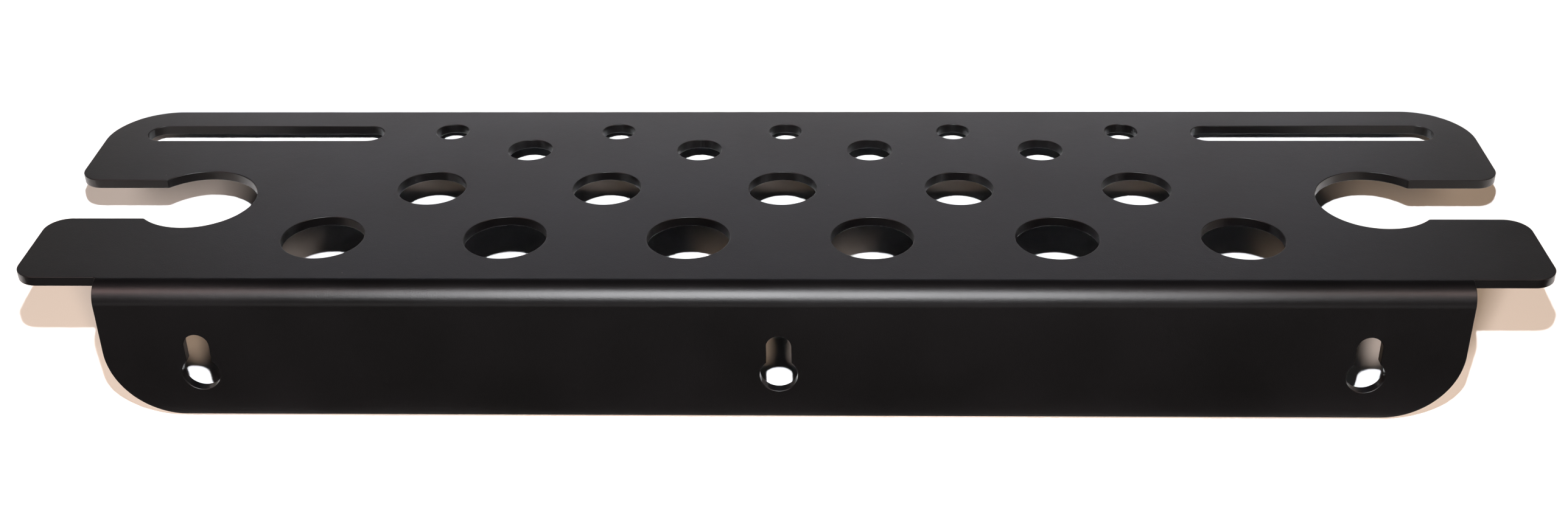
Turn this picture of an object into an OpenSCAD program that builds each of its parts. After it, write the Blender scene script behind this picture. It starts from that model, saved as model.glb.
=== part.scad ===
// Wall rack plate with graded tool holes
//
// One sheet of steel, cut flat, bent once through a right angle and coated.
// The flange hangs on three screws by its keyholes, and the shelf stands out
// from the wall. Tools drop through its holes, slots and side notches.
//
// Millimetres. X runs along the wall, Y away from it and Z up. The origin is
// on the wall, at the seat of the middle keyhole, where its screw ends up.

/* [Plate] */
// Length of the shelf along the wall
rack_length = 400; // [392:1:440]
// Distance from the wall to the shelf's free edge
shelf_depth = 102; // [100:0.5:115]
// Thickness of the coated sheet
sheet = 2.7; // [2:0.1:3.5]
// Outside radius of the bend
bend_radius = 5.5; // [4.5:0.1:8]
// Radius of the shelf's two back corners
back_corner = 18.2; // [8:0.2:24]
// Radius at the tips of the tabs and prongs
tip_radius = 6.4; // [2:0.2:8]

/* [Flange] */
// Length of the flange, shorter than the shelf so that tabs stand past it
flange_length = 355; // [335:1:370]
// Height of the flange, with the shelf's thickness
flange_height = 39.3; // [36:0.1:55]
// Radius of the flange's lower corners
flange_corner = 19.4; // [6:0.2:24]

/* [Tool holes] */
// Distance between neighbouring holes in a row
hole_pitch = 49.1; // [46:0.1:52]
// Holes in each row, from the wall outward
row_counts = [6, 5, 4, 5]; // [1:1:6]
// Diameter of the holes in each row
row_diameters = [22.2, 19, 12.7, 9.5]; // [5:0.1:22.5]
// Distance of each row from the wall
row_distances = [26.6, 54.2, 77.3, 88.9]; // [20:0.1:90]

/* [Slots] */
// Width of a slot
slot_width = 9.5; // [6:0.1:12]
// Length of a slot from end to end
slot_length = 70.2; // [40:0.2:76]
// Distance of a slot's middle from the rack's middle
slot_offset = 153.5; // [150:0.5:156]
// Distance of the slots from the wall
slot_distance = 87.8; // [86:0.1:89]

/* [Side notches] */
// Radius of the round pocket
pocket_radius = 16.1; // [14:0.1:17]
// Distance of a pocket's middle from the rack's middle
pocket_offset = 162.5; // [160:0.5:165]
// Distance of the notches from the wall
notch_distance = 47.8; // [46:0.1:49]
// Width of the straight mouth
mouth_width = 22; // [16:0.2:26]
// Radius that eases the lip between mouth and pocket
lip_radius = 0.9; // [0.5:0.1:2]

/* [Keyholes] */
// Distance between neighbouring keyholes
keyhole_pitch = 152.4; // [140:0.1:156]
// Diameter of the entry, which a screw's head passes
entry_diameter = 10; // [9:0.1:12]
// Width of the slot above it, which holds the screw's shank
seat_width = 6.6; // [5:0.1:7]
// Height from the middle of the entry to the seat
seat_rise = 8.7; // [7:0.1:9]
// Depth of the seat below the shelf's top face
seat_depth = 17.6; // [14:0.1:19]

/* [Hidden] */
$fn = 96;
coat_black = [0.22, 0.22, 0.23];
over = 1;
half_length = rack_length / 2;
mouth_low = notch_distance - mouth_width / 2;
mouth_high = notch_distance + mouth_width / 2;
// the middle of a lip's round, seen from the middle of its pocket
lip_y = mouth_width / 2 + lip_radius;
lip_x = sqrt(pow(pocket_radius + lip_radius, 2) - pow(lip_y, 2));
lip_ratio = pocket_radius / (pocket_radius + lip_radius);

// What a square corner at the origin loses when it is rounded. The sheet
// lies on the positive side of both axes.
module corner_trim(radius) {
    difference() {
        translate([-over, -over])
            square(radius + over);
        translate([radius, radius])
            circle(radius);
    }
}

// What the sharp lip between a notch's mouth and its pocket loses. It is
// drawn for the upper lip, with the middle of the pocket at the origin.
module lip_trim() {
    difference() {
        polygon([
            [lip_x, lip_y],
            [lip_x, mouth_width / 2 - over],
            [lip_x * lip_ratio - over, mouth_width / 2 - over],
            [lip_x * lip_ratio, lip_y * lip_ratio]
        ]);
        translate([lip_x, lip_y])
            circle(lip_radius);
    }
}

// A side notch, drawn for the right end of the shelf
module side_notch() {
    translate([pocket_offset, notch_distance]) {
        circle(pocket_radius);
        translate([0, -mouth_width / 2])
            square([half_length - pocket_offset + over, mouth_width]);
        lip_trim();
        mirror([0, 1])
            lip_trim();
    }
    translate([half_length, mouth_low])
        rotate(180)
            corner_trim(tip_radius);
    translate([half_length, mouth_high])
        mirror([1, 0])
            corner_trim(tip_radius);
}

// What one end of the shelf loses: its notch and its outer corners
module end_cuts() {
    side_notch();
    translate([half_length, bend_radius])
        mirror([1, 0])
            corner_trim(tip_radius);
    translate([half_length, shelf_depth])
        rotate(180)
            corner_trim(back_corner);
}

// A straight row of holes, centred on the rack
module hole_row(count, diameter, distance) {
    for (i = [0 : count - 1])
        translate([(i - (count - 1) / 2) * hole_pitch, distance])
            circle(d = diameter);
}

// A slot with round ends, along X
module long_slot() {
    reach = (slot_length - slot_width) / 2;
    translate([-reach, -slot_width / 2])
        square([2 * reach, slot_width]);
    for (side = [-1, 1])
        translate([side * reach, 0])
            circle(d = slot_width);
}

// A keyhole, with its seat at the origin and its entry below
module keyhole() {
    circle(d = seat_width);
    translate([-seat_width / 2, -seat_rise])
        square([seat_width, seat_rise]);
    translate([0, -seat_rise])
        circle(d = entry_diameter);
}

// The flat leaf that stands out from the wall, its top face at Z = 0
module shelf() {
    translate([0, 0, -sheet])
        linear_extrude(sheet)
            difference() {
                translate([-half_length, bend_radius])
                    square([rack_length, shelf_depth - bend_radius]);
                for (row = [0 : len(row_counts) - 1])
                    hole_row(row_counts[row], row_diameters[row], row_distances[row]);
                for (side = [-1, 1])
                    translate([side * slot_offset, slot_distance])
                        long_slot();
                end_cuts();
                mirror([1, 0])
                    end_cuts();
            }
}

// A quarter of a tube between the two leaves
module bend() {
    rotate([90, 0, 90])
        linear_extrude(flange_length, center = true)
            translate([bend_radius, -bend_radius])
                intersection() {
                    difference() {
                        circle(bend_radius);
                        circle(bend_radius - sheet);
                    }
                    translate([-bend_radius, 0])
                        square(bend_radius);
                }
}

// The leaf that lies on the wall, its outer face at Y = 0
module flange() {
    translate([0, sheet, 0])
        rotate([90, 0, 0])
            linear_extrude(sheet)
                difference() {
                    translate([-flange_length / 2, -flange_height])
                        square([flange_length, flange_height - bend_radius]);
                    for (i = [-1 : 1])
                        translate([i * keyhole_pitch, -seat_depth])
                            keyhole();
                    for (side = [0, 1])
                        mirror([side, 0])
                            translate([-flange_length / 2, -flange_height])
                                corner_trim(flange_corner);
                }
}

module rack_plate() {
    color(coat_black)
        translate([0, 0, seat_depth]) {
            shelf();
            bend();
            flange();
        }
}

rack_plate();
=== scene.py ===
import math
import bpy
import numpy as np
from mathutils import Matrix, Vector
from mathutils.geometry import delaunay_2d_cdt


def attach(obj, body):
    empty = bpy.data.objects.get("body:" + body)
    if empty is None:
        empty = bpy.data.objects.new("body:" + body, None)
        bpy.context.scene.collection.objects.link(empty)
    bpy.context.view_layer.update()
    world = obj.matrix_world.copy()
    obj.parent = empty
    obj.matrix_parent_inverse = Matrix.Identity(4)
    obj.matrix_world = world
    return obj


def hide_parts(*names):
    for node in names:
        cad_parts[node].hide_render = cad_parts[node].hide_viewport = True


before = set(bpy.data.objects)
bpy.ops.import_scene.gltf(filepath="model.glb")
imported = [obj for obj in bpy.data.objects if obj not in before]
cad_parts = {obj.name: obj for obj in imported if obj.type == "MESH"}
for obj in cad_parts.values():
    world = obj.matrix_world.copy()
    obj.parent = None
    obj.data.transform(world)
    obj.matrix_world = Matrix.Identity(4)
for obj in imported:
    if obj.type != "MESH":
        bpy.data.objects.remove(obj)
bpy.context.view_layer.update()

# one millimetre in metres
mm = 0.001

# The camera's place and the way it looks, in metres in the rack's own frame.
view = {
    "place": (0.01459, -0.42243, 0.27712),
    "forward": (-0.02612, 0.85965, -0.51022),
    "up": (-0.00142, 0.51036, 0.85996),
    "lens": 44.684,            # mm
    "sensor": 36.0,            # mm
    "near": 0.01,
    "far": 50.0,
}


def makeCamera():
    # the camera looks down its own -Z, so its axes are right, up and minus forward
    forward = Vector(view["forward"]).normalized()
    right = forward.cross(Vector(view["up"])).normalized()
    up = right.cross(forward)
    turn = Matrix((right, up, -forward)).transposed().to_4x4()
    data = bpy.data.cameras.new("studioCamera")
    data.lens = view["lens"]
    data.sensor_width = view["sensor"]
    data.clip_start = view["near"]
    data.clip_end = view["far"]
    camera = bpy.data.objects.new("studioCamera", data)
    camera.matrix_world = Matrix.Translation(Vector(view["place"])) @ turn
    bpy.context.scene.collection.objects.link(camera)
    bpy.context.scene.camera = camera


makeCamera()
print("camera placed")

# Sizes of the plate, in millimetres.
plate = {
    "halfLength": 200.0,       # half of the shelf's length along the wall
    "depth": 102.0,            # wall to the shelf's free edge
    "thickness": 2.7,          # coated sheet
    "bendRadius": 5.5,         # outside radius of the fold
    "backCorner": 18.2,        # radius of the shelf's two outer corners
    "tipRadius": 6.4,          # tabs and prongs
    "halfFlange": 177.5,
    "flangeCorner": 19.4,      # radius of the flange's lower corners
    "topHeight": 17.6,         # shelf's top face above the middle screw seat
    "bottomHeight": -21.7,     # flange's lower edge
    "holePitch": 49.1,
    # each row: how many holes, their diameter, distance from the wall
    "holeRows": ((6, 22.2, 26.6), (5, 19.0, 54.2), (4, 12.7, 77.3), (5, 9.5, 88.9)),
    "slotCentres": ((-153.5, 87.8), (153.5, 87.8)),
    "slotLength": 70.2,
    "slotWidth": 9.5,
    "pocket": (162.5, 47.8, 16.1),   # middle and radius of a side notch
    "halfMouth": 11.0,
    "lipRadius": 0.9,
    "keyholePitch": 152.4,
    "entryRadius": 5.0,
    "entryDrop": 8.7,          # entry's middle below the seat's middle
    "seatRadius": 3.3,
    "neckRadius": 0.45,        # eases the corner between seat and entry
    "reliefRadius": 0.5,       # inside corner where a tab leaves the flange
    "edgeRound": 0.2,          # the coating rounds every cut edge
    "roundSteps": 5,
    "bendSteps": 26,
    "arcStep": 0.42,           # longest step along an arc
    "arcTurn": 0.12,           # largest turn of one such step, in radians
    "arcLeast": 4,             # fewest steps in an arc
    "gridStep": 6.0,           # spacing of the points along the fold lines
    "gridClear": 0.6,          # kept free between those points and the flange's sides
    "reliefClear": 0.05,       # kept free between a side's last point and the relief
    "samePoint": 1e-6,         # points nearer than this are one
    "mergeDistance": 1e-7,     # the same for the filling of the blank
    "emptyArea": 1e-9,         # mm2, triangles smaller than this are left out
    "levelRise": 1e-12,        # stands in for the rise of a level edge
}
bendLength = plate["bendRadius"] * math.pi / 2          # the fold's outer face, laid flat
bendStart = plate["bendRadius"] - bendLength            # where the flange begins on the flat blank
bendHeight = plate["topHeight"] - plate["bendRadius"]   # height of the fold's axis


def blankHeight(z):
    # the flange's height z as a distance on the flat blank, which runs on past the fold
    return bendStart + z - bendHeight


def arc(cx, cy, radius, start, end):
    # points at centre + radius * (cos a, sin a) from angle start to end, with the direction
    # away from the metal: outward on a corner turned left, inward on one turned right
    sweep = math.radians(end - start)
    byLength = math.ceil(abs(sweep) * radius / plate["arcStep"])
    byTurn = math.ceil(abs(sweep) / plate["arcTurn"])
    count = max(plate["arcLeast"], byLength, byTurn)
    a = math.radians(start) + np.linspace(0.0, sweep, count + 1)
    ray = np.column_stack((np.cos(a), np.sin(a)))
    return np.hstack((np.array([cx, cy]) + radius * ray, ray * np.sign(sweep)))


def line(x, stations, away):
    # points on the straight side at x, at the given distances, all facing the same way
    flat = np.zeros((len(stations), 4))
    flat[:, 0] = x
    flat[:, 1] = stations
    flat[:, 2] = away
    return flat


def closed(*pieces):
    # one closed path out of arcs and lines that meet end to end, each point once
    path = np.vstack(pieces)
    gap = np.linalg.norm(path[:, :2] - np.roll(path[:, :2], 1, axis=0), axis=1)
    return path[gap > plate["samePoint"]]


def foldStations():
    # the distances on the blank at which the fold is divided, evenly by angle
    return np.linspace(bendStart, plate["bendRadius"], plate["bendSteps"] + 1)


def outerPath():
    # the blank's outline, counter-clockwise: the right half from the flange's lower corner
    # to the back corner, then the same points mirrored and run backwards
    p = plate
    halfX, halfF, tip, lip = p["halfLength"], p["halfFlange"], p["tipRadius"], p["lipRadius"]
    px, py, pr = p["pocket"]
    low, high = py - p["halfMouth"], py + p["halfMouth"]
    lipY = p["halfMouth"] + lip
    lipX = math.sqrt((pr + lip) ** 2 - lipY ** 2)
    lean = math.degrees(math.atan2(lipY, lipX))
    relief = p["reliefRadius"]
    stations = foldStations()
    side = stations[stations < p["bendRadius"] - relief - p["reliefClear"]]
    right = np.vstack((
        arc(halfF - p["flangeCorner"], blankHeight(p["bottomHeight"]) + p["flangeCorner"],
            p["flangeCorner"], -90, 0),
        line(halfF, side, 1.0),
        arc(halfF + relief, p["bendRadius"] - relief, relief, 180, 90),
        arc(halfX - tip, p["bendRadius"] + tip, tip, -90, 0),
        arc(halfX - tip, low - tip, tip, 0, 90),
        arc(px + lipX, low - lip, lip, 90, 180 - lean),
        arc(px, py, pr, -lean, lean - 360),
        arc(px + lipX, high + lip, lip, 180 + lean, 270),
        arc(halfX - tip, high + tip, tip, -90, 0),
        arc(halfX - p["backCorner"], p["depth"] - p["backCorner"], p["backCorner"], 0, 90),
    ))
    left = right[::-1] * np.array([-1.0, 1.0, -1.0, 1.0])
    return closed(right, left)


def roundHole(x, y, radius):
    # a circle run clockwise, so that the metal is on its left as it is along the outline
    return closed(arc(x, y, radius, 0, -360)[:-1])


def longSlot(x, y):
    # two half circles a slot's length apart, clockwise
    r = plate["slotWidth"] / 2
    reach = plate["slotLength"] / 2 - r
    return closed(arc(x + reach, y, r, 90, -90), arc(x - reach, y, r, -90, -270))


def keyhole(x):
    # the narrow seat, its neck and the round entry below it, clockwise
    seat, entry, ease = plate["seatRadius"], plate["entryRadius"], plate["neckRadius"]
    top = blankHeight(0.0)
    low = top - plate["entryDrop"]
    rise = math.sqrt((entry + ease) ** 2 - (seat + ease) ** 2)
    lean = math.degrees(math.atan2(rise, seat + ease))
    return closed(
        arc(x, top, seat, 180, 0),
        arc(x + seat + ease, low + rise, ease, 180, 180 + lean),
        arc(x, low, entry, lean, -180 - lean),
        arc(x - seat - ease, low + rise, ease, -lean, 0),
    )


def allPaths():
    p = plate
    paths = [outerPath()]
    for count, diameter, distance in p["holeRows"]:
        paths += [roundHole((i - (count - 1) / 2) * p["holePitch"], distance, diameter / 2)
                  for i in range(count)]
    paths += [longSlot(x, y) for x, y in p["slotCentres"]]
    paths += [keyhole(i * p["keyholePitch"]) for i in (-1, 0, 1)]
    return paths


def inside(points, loops):
    # even-odd rule: a point is on the metal when a ray along X crosses the loops an odd
    # number of times
    start = np.vstack([loop[:, :2] for loop in loops])
    end = np.vstack([np.roll(loop[:, :2], -1, axis=0) for loop in loops])
    px, py = points[:, 0:1], points[:, 1:2]
    spans = (start[None, :, 1] > py) != (end[None, :, 1] > py)
    rise = end[:, 1] - start[:, 1]
    rise = np.where(np.abs(rise) < plate["levelRise"], plate["levelRise"], rise)
    crossing = start[:, 0] + (py - start[:, 1]) * (end[:, 0] - start[:, 0]) / rise
    return (spans & (crossing > px)).sum(axis=1) % 2 == 1


def face(loops):
    # triangles that fill the flat blank between its loops, with the fold's lines kept as edges
    p = plate
    corners = [loop[:, :2] for loop in loops]
    counts = [len(c) for c in corners]
    starts = np.concatenate(([0], np.cumsum(counts)))
    edges = [np.column_stack((np.arange(n), np.roll(np.arange(n), -1))) + s
             for n, s in zip(counts, starts)]
    stations = foldStations()
    reach = p["halfFlange"] - p["edgeRound"] - p["reliefRadius"] - p["gridClear"]
    across = np.linspace(-reach, reach, int(2 * reach / p["gridStep"]) + 1)
    gridX, gridS = np.meshgrid(across, stations)
    grid = np.column_stack((gridX.ravel(), gridS.ravel()))
    number = np.arange(grid.shape[0]).reshape(gridX.shape) + starts[-1]
    edges.append(np.column_stack((number[:, :-1].ravel(), number[:, 1:].ravel())))
    points = np.vstack(corners + [grid])
    found = delaunay_2d_cdt(points.tolist(), np.vstack(edges).tolist(), [], 0, p["mergeDistance"])
    triangles = np.array(found[2])
    if len(found[0]) != len(points):
        raise ValueError("two points of the blank fell together")
    order = np.array(found[3]).ravel()
    triangles = order[triangles]
    middle = points[triangles].mean(axis=1)
    a, b, c = (points[triangles[:, k]] for k in range(3))
    area = 0.5 * np.cross(b - a, c - a)
    keep = inside(middle, corners) & (np.abs(area) > p["emptyArea"])
    triangles, area = triangles[keep], area[keep]
    triangles[area < 0] = triangles[area < 0][:, ::-1]
    filled = round(float(np.abs(area).sum()), 1)
    print("blank filled with", len(triangles), "triangles,", filled, "mm2")
    return points, triangles


def fold(x, s, h):
    # bends the flat blank: past the fold's first line a point turns about the fold's axis by an
    # angle in proportion to its distance, and past the last line it runs straight down
    angle = np.clip((plate["bendRadius"] - s) / bendLength, 0.0, 1.0) * math.pi / 2
    reach = plate["bendRadius"] + h
    y = np.maximum(s, plate["bendRadius"]) - reach * np.sin(angle)
    z = bendHeight + reach * np.cos(angle) + np.minimum(s - bendStart, 0.0)
    return np.column_stack((x, y, z)), angle


def turnNormals(normals, angle):
    # the same turn for the directions, given as along X, along the blank and out of its face
    sin, cos = np.sin(angle), np.cos(angle)
    along, out = normals[:, 1], normals[:, 2]
    return np.column_stack((normals[:, 0], along * cos - out * sin, along * sin + out * cos))


def makePlate():
    # the edge's profile, a quarter round, a straight wall and a quarter round, is carried along
    # every path; two copies of the filled blank close it above and below
    p = plate
    paths = allPaths()
    r, t = p["edgeRound"], p["thickness"]
    a = np.linspace(0.0, math.pi / 2, p["roundSteps"] + 1)
    inset = np.concatenate((r * (1 - np.sin(a)), r * (1 - np.sin(a[::-1]))))
    depth = np.concatenate((-r * (1 - np.cos(a)), -t + r * (1 - np.cos(a[::-1]))))
    lean = np.concatenate((a, math.pi - a[::-1]))
    shrunk = [np.hstack((path[:, :2] - r * path[:, 2:], path[:, 2:])) for path in paths]
    points, triangles = face(shrunk)
    n = len(points)
    flat = [np.column_stack((points, np.zeros(n))), np.column_stack((points, np.full(n, -t)))]
    up = np.tile((0.0, 0.0, 1.0), (n, 1))
    normals = [up, -up]
    faces = [triangles, triangles[:, ::-1] + n]
    quads = []
    first, total = 0, 2 * n
    for path in paths:
        count, levels = len(path), len(inset)
        ring = np.arange(count)
        # numbers of this path's points: the top and bottom rows are the blank's own points
        number = np.empty((count, levels), int)
        number[:, 0] = first + ring
        number[:, -1] = first + ring + n
        inner = count * (levels - 2)
        number[:, 1:-1] = total + np.arange(inner).reshape(count, levels - 2)
        place = path[:, None, :2] - inset[None, 1:-1, None] * path[:, None, 2:]
        heights = np.broadcast_to(depth[1:-1], (count, levels - 2))
        flat.append(np.column_stack((place.reshape(-1, 2), heights.ravel())))
        side = path[:, None, 2:] * np.sin(lean)[None, 1:-1, None]
        rise = np.broadcast_to(np.cos(lean)[1:-1], (count, levels - 2))
        normals.append(np.column_stack((side.reshape(-1, 2), rise.ravel())))
        nextNumber = np.roll(number, -1, axis=0)
        quads.append(np.stack((number[:, :-1], number[:, 1:], nextNumber[:, 1:],
                               nextNumber[:, :-1]), axis=-1).reshape(-1, 4))
        first += count
        total += inner
    flat, normals = np.vstack(flat), np.vstack(normals)
    place, angle = fold(flat[:, 0], flat[:, 1], flat[:, 2])
    directions = turnNormals(normals, angle)
    mesh = bpy.data.meshes.new("rackPlate")
    allFaces = np.vstack(faces).tolist() + np.vstack(quads).tolist()
    mesh.from_pydata((place * mm).tolist(), [], allFaces)
    mesh.polygons.foreach_set("use_smooth", np.ones(len(mesh.polygons), bool))
    mesh.normals_split_custom_set_from_vertices(directions.tolist())
    mesh.update()
    piece = bpy.data.objects.new("rackPlate", mesh)
    bpy.context.scene.collection.objects.link(piece)
    print("plate made with", len(mesh.vertices), "points and", len(mesh.polygons), "faces")
    return piece


rackPlate = makePlate()


def linearColour(text):
    # an sRGB hex value as linear red, green and blue
    value = np.array([int(text[i:i + 2], 16) for i in (1, 3, 5)]) / 255
    low, high = value / 12.92, ((value + 0.055) / 1.055) ** 2.4
    return (*np.where(value <= 0.04045, low, high).tolist(), 1.0)


def addNode(tree, kind, links=(), **settings):
    # one node with its settings; sockets sets its inputs by name, and each link is
    # (this node's input, other node, its output)
    node = tree.nodes.new(kind)
    sockets = settings.pop("sockets", {})
    for key, value in settings.items():
        setattr(node, key, value)
    for key, value in sockets.items():
        node.inputs[key].default_value = value
    for key, other, output in links:
        tree.links.new(other.outputs[output], node.inputs[key])
    return node


# The finish: black polyester powder coat, sprayed and baked on steel.
coat = {
    "colour": "#030303",
    "worn": "#050405",         # the slightly greyer tone of thin patches
    "roughness": 0.34,
    "grain": 0.36,             # mm across one grain of the powder
    "peel": 2.6,               # mm across one wave of the orange peel
    "patch": 38.0,             # mm across a patch of even gloss
    "lint": "#6a625c",         # stray specks of dust caught in the coat
    "lintSpacing": 7.0,        # mm between places where a speck may lie
    "lintSize": 0.16,          # mm, a speck's radius, drawn a little coarse so that it shows
    "lintCore": 0.6,           # share of that radius which is dust all over
    "lintShare": 0.75,         # share of the places left clean
    "grainStrength": 0.6,
    "grainDepth": 0.04,        # mm
    "peelStrength": 0.25,
    "peelDepth": 0.06,         # mm
    "glossSpread": 0.03,       # the patches change the roughness by this much each way
    "patchRange": (0.3, 0.7),  # the part of the patch noise that counts
    "origin": (0.0, -0.05, 0.0),   # metres, moves the patterns to the middle of the shelf
}


def makeCoat():
    # Powder coat flows into a satin film: a fine grain breaks up its highlights, and a long
    # shallow wave, the orange peel, softens what it mirrors.
    material = bpy.data.materials.new("blackPowderCoat")
    material.use_nodes = True
    tree = material.node_tree
    tree.nodes.clear()
    coordinate = addNode(tree, "ShaderNodeTexCoord")
    centred = addNode(tree, "ShaderNodeMapping", [("Vector", coordinate, "Object")],
                      sockets={"Location": coat["origin"]})
    patch = addNode(tree, "ShaderNodeTexNoise", [("Vector", centred, "Vector")],
                    sockets={"Scale": 1000 / coat["patch"], "Detail": 2.0, "Roughness": 0.5})
    grain = addNode(tree, "ShaderNodeTexNoise", [("Vector", centred, "Vector")],
                    sockets={"Scale": 1000 / coat["grain"], "Detail": 2.0, "Roughness": 0.55})
    peel = addNode(tree, "ShaderNodeTexNoise", [("Vector", centred, "Vector")],
                   sockets={"Scale": 1000 / coat["peel"], "Detail": 1.0, "Roughness": 0.4})
    tone = addNode(tree, "ShaderNodeMix", [("Factor", patch, "Fac")], data_type="RGBA")
    tone.inputs[6].default_value = linearColour(coat["colour"])
    tone.inputs[7].default_value = linearColour(coat["worn"])
    cell = addNode(tree, "ShaderNodeTexVoronoi", [("Vector", centred, "Vector")],
                   sockets={"Scale": 1000 / coat["lintSpacing"]})
    near = coat["lintSize"] / coat["lintSpacing"]
    speck = addNode(tree, "ShaderNodeMapRange", [("Value", cell, "Distance")],
                    sockets={"From Min": near, "From Max": near * coat["lintCore"],
                             "To Min": 0.0, "To Max": 1.0})
    channels = addNode(tree, "ShaderNodeSeparateColor", [("Color", cell, "Color")])
    chosen = addNode(tree, "ShaderNodeMath", [(0, channels, "Red")], operation="GREATER_THAN")
    chosen.inputs[1].default_value = coat["lintShare"]
    lint = addNode(tree, "ShaderNodeMath", [(0, speck, "Result"), (1, chosen, "Value")],
                   operation="MULTIPLY")
    dusted = addNode(tree, "ShaderNodeMix", [("Factor", lint, "Value"), (6, tone, 2)],
                     data_type="RGBA")
    dusted.inputs[7].default_value = linearColour(coat["lint"])
    lowPatch, highPatch = coat["patchRange"]
    gloss = addNode(tree, "ShaderNodeMapRange", [("Value", patch, "Fac")],
                    sockets={"From Min": lowPatch, "From Max": highPatch,
                             "To Min": coat["roughness"] - coat["glossSpread"],
                             "To Max": coat["roughness"] + coat["glossSpread"]})
    wave = addNode(tree, "ShaderNodeBump", [("Height", peel, "Fac")],
                   sockets={"Strength": coat["peelStrength"], "Distance": coat["peelDepth"] * mm})
    fine = addNode(tree, "ShaderNodeBump", [("Height", grain, "Fac"), ("Normal", wave, "Normal")],
                   sockets={"Strength": coat["grainStrength"],
                            "Distance": coat["grainDepth"] * mm})
    shader = addNode(tree, "ShaderNodeBsdfPrincipled",
                     [("Base Color", dusted, 2), ("Roughness", gloss, "Result"),
                      ("Normal", fine, "Normal")],
                     sockets={"Metallic": 0.0, "IOR": 1.5})
    addNode(tree, "ShaderNodeOutputMaterial", [("Surface", shader, "BSDF")])
    return material


rackPlate.data.materials.append(makeCoat())
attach(rackPlate, "root")
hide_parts("rack_plate")
print("coat applied")

# The stage: the rack lies on a table, on the flange's lower edge and the shelf's free edge.
# The lamp and the shine are placed in the rack's frame. All the others are placed on the table, in
# metres along the wall, over the table away from the camera, and above it. Powers are in watts.
stage = {
    "colour": "#f1f1f2",
    "reach": 6.0,                      # half of the table's length and width
    "seam": -0.005,                    # where its front and back strips meet
    "drop": 0.00005,                   # kept free between the rack's edges and the table
    "glowFrom": (0.4, 0.9),            # painted glow: the table's top begins to give off light by itself at the first distance and is fully white at the second
    "aim": (0.0, 0.03, 0.0),           # all lights face this point, just under the shelf
    "lamp": (0.009, -0.339, 0.439),    # a small soft lamp above the camera
    "lampSize": (0.015, 0.015),
    "lampPower": 6.2,
    "lampColour": "#fbfcff",
    "shine": (-0.015, -0.406, 0.374),  # a wider card below the lamp, for the shine on the fold
    "shineSize": (0.36, 0.36),
    "shinePower": 6.2,
    "fillLeft": (-0.47, -1.16, 0.64),  # low in front, so that little of it passes under the shelf
    "fillRight": (0.47, -1.16, 0.64),
    "fillSize": (0.25, 0.25),
    "fillLeftPower": 24.0,
    "fillRightPower": 15.0,
    "fillLeftColour": "#ffe9da",
    "fillRightColour": "#ffdcbc",
    "glow": (0.9, -0.29, 1.15),        # two warm cards, mirrored at both ends of the fold
    "glowSize": (0.5, 0.5),
    "glowPower": 6.5,
    "glowLeftColour": "#ffcfc9",
    "glowRightColour": "#ffd9cf",
    "sky": (-0.02, 1.2, 0.08),         # a long low card behind, mirrored in the shelf
    "skySize": (1.1, 0.3),
    "skyPower": 1.0,
    "skyColour": "#eeeeff",
    "low": (0.0, -1.4, 0.1),           # the same in front, mirrored in the flange
    "lowSize": (2.4, 0.2),
    "lowPower": 1.8,
    "lowColour": "#fff9f8",
}


def tableAxes():
    # the line through both edges that touch the table, and the direction square to it
    low = Vector((0.0, plate["thickness"], plate["bottomHeight"])) * mm
    high = Vector((0.0, plate["depth"], plate["topHeight"] - plate["thickness"])) * mm
    along = (high - low).normalized()
    return low, along, Vector((1.0, 0.0, 0.0)).cross(along).normalized()


def onStage(x, away, above):
    low, along, out = tableAxes()
    return low + Vector((1.0, 0.0, 0.0)) * x + along * away + out * above


def makeLaminate():
    # white laminate: a matt, pale top with a painted glow, light it gives off by itself, from none
    # near the rack to white away from it, like the surround; from below it is transparent, so it
    # hides no view
    material = bpy.data.materials.new("whiteLaminate")
    material.use_nodes = True
    tree = material.node_tree
    tree.nodes.clear()
    side = addNode(tree, "ShaderNodeNewGeometry")
    top = addNode(tree, "ShaderNodeBsdfDiffuse", sockets={"Color": linearColour(stage["colour"])})
    coordinate = addNode(tree, "ShaderNodeTexCoord")
    distance = addNode(tree, "ShaderNodeVectorMath", [(0, coordinate, "Object")],
                       operation="LENGTH")
    start, end = stage["glowFrom"]
    rise = addNode(tree, "ShaderNodeMapRange", [("Value", distance, "Value")],
                   sockets={"From Min": start, "From Max": end, "To Min": 0.0, "To Max": 1.0})
    # painted glow: the top emits light of its own, more the further it lies from the rack
    lit = addNode(tree, "ShaderNodeEmission", [("Strength", rise, "Result")])
    topLit = addNode(tree, "ShaderNodeAddShader", [(0, top, "BSDF"), (1, lit, "Emission")])
    under = addNode(tree, "ShaderNodeBsdfTransparent")
    both = addNode(tree, "ShaderNodeMixShader",
                   [(0, side, "Backfacing"), (1, topLit, "Shader"), (2, under, "BSDF")])
    addNode(tree, "ShaderNodeOutputMaterial", [("Surface", both, "Shader")])
    return material


def makeTable(name, start, end, mirrored, laminate):
    # a flat strip of the table's plane between two distances; the coat mirrors it or not
    r = stage["reach"]
    outline = ((-r, start), (r, start), (r, end), (-r, end))
    corners = [list(onStage(x, away, -stage["drop"])) for x, away in outline]
    mesh = bpy.data.meshes.new(name)
    mesh.from_pydata(corners, [], [(0, 1, 2, 3)])
    table = bpy.data.objects.new(name, mesh)
    bpy.context.scene.collection.objects.link(table)
    table.data.materials.append(laminate)
    table.visible_glossy = mirrored


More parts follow.
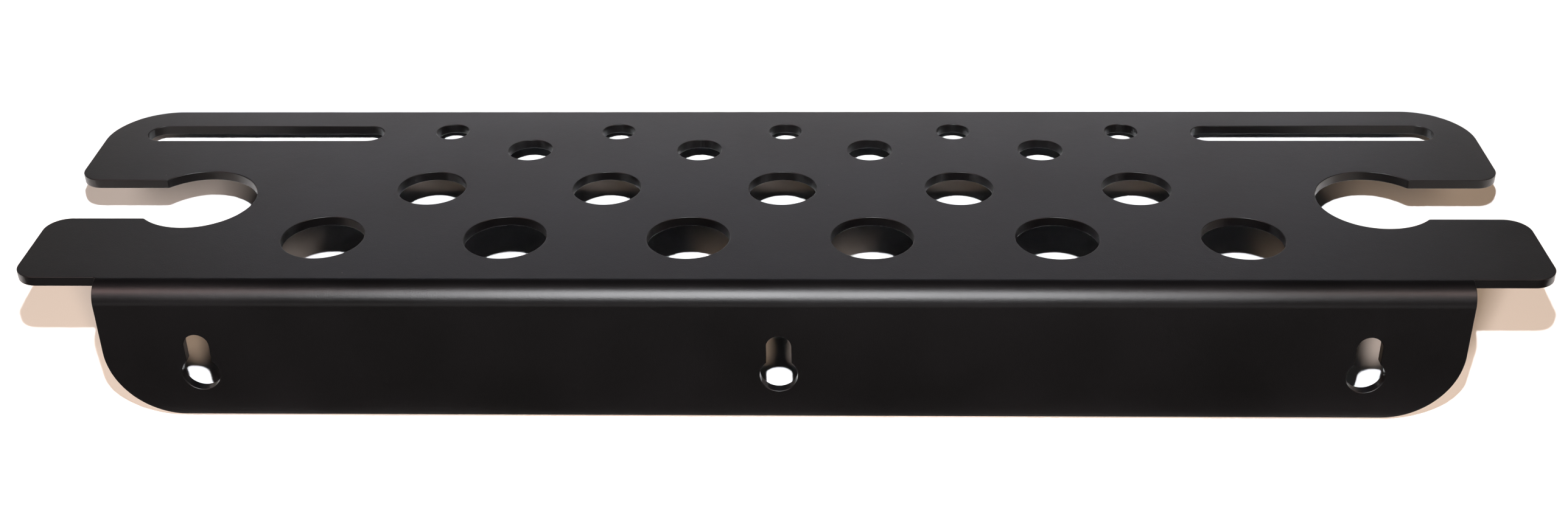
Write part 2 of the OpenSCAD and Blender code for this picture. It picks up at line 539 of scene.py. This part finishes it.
def areaLight(name, place, size, power, colour, diffuse=True, glossy=True):
    # a soft light of that width and height at that place, turned to the rack; it may serve only
    # the matt part of the light or only the shine
    place = Vector(place)
    direction = (place - Vector(stage["aim"])).normalized()
    turn = direction.to_track_quat("Z", "Y").to_matrix().to_4x4()
    data = bpy.data.lights.new(name, "AREA")
    data.shape = "RECTANGLE"
    data.size, data.size_y = size
    data.energy = power
    data.color = linearColour(colour)[:3]
    light = bpy.data.objects.new(name, data)
    light.matrix_world = Matrix.Translation(place) @ turn
    light.visible_camera = False
    light.visible_diffuse = diffuse
    light.visible_glossy = glossy
    bpy.context.scene.collection.objects.link(light)


def makeLights():
    s = stage
    areaLight("lamp", s["lamp"], s["lampSize"], s["lampPower"], s["lampColour"], glossy=False)
    areaLight("shine", s["shine"], s["shineSize"], s["shinePower"], s["lampColour"], diffuse=False)
    for name in ("sky", "low"):
        areaLight(name, onStage(*s[name]), s[name + "Size"], s[name + "Power"],
                  s[name + "Colour"], diffuse=False)
    glowX, glowAway, glowAbove = s["glow"]
    for side, hand in (("Left", -1), ("Right", 1)):
        fill = "fill" + side
        areaLight(fill, onStage(*s[fill]), s["fillSize"], s[fill + "Power"],
                  s[fill + "Colour"], glossy=False)
        areaLight("glow" + side, onStage(hand * glowX, glowAway, glowAbove), s["glowSize"],
                  s["glowPower"], s["glow" + side + "Colour"], diffuse=False)


def makeWorld():
    # a white surround behind everything; it lights nothing, the lamps do that
    world = bpy.data.worlds.new("studio")
    bpy.context.scene.world = world
    world.use_nodes = True
    tree = world.node_tree
    tree.nodes.clear()
    background = addNode(tree, "ShaderNodeBackground",
                         sockets={"Color": (1.0, 1.0, 1.0, 1.0), "Strength": 1.0})
    addNode(tree, "ShaderNodeOutputWorld", [("Surface", background, "Background")])
    world.cycles_visibility.diffuse = False
    world.cycles_visibility.glossy = False


laminate = makeLaminate()
makeTable("tableBack", stage["seam"], stage["reach"], True, laminate)
makeTable("tableFront", -stage["reach"], stage["seam"], False, laminate)
makeWorld()
makeLights()
bpy.context.scene.view_settings.view_transform = "Standard"
bpy.context.scene.view_settings.look = "None"
print("stage and lights made")
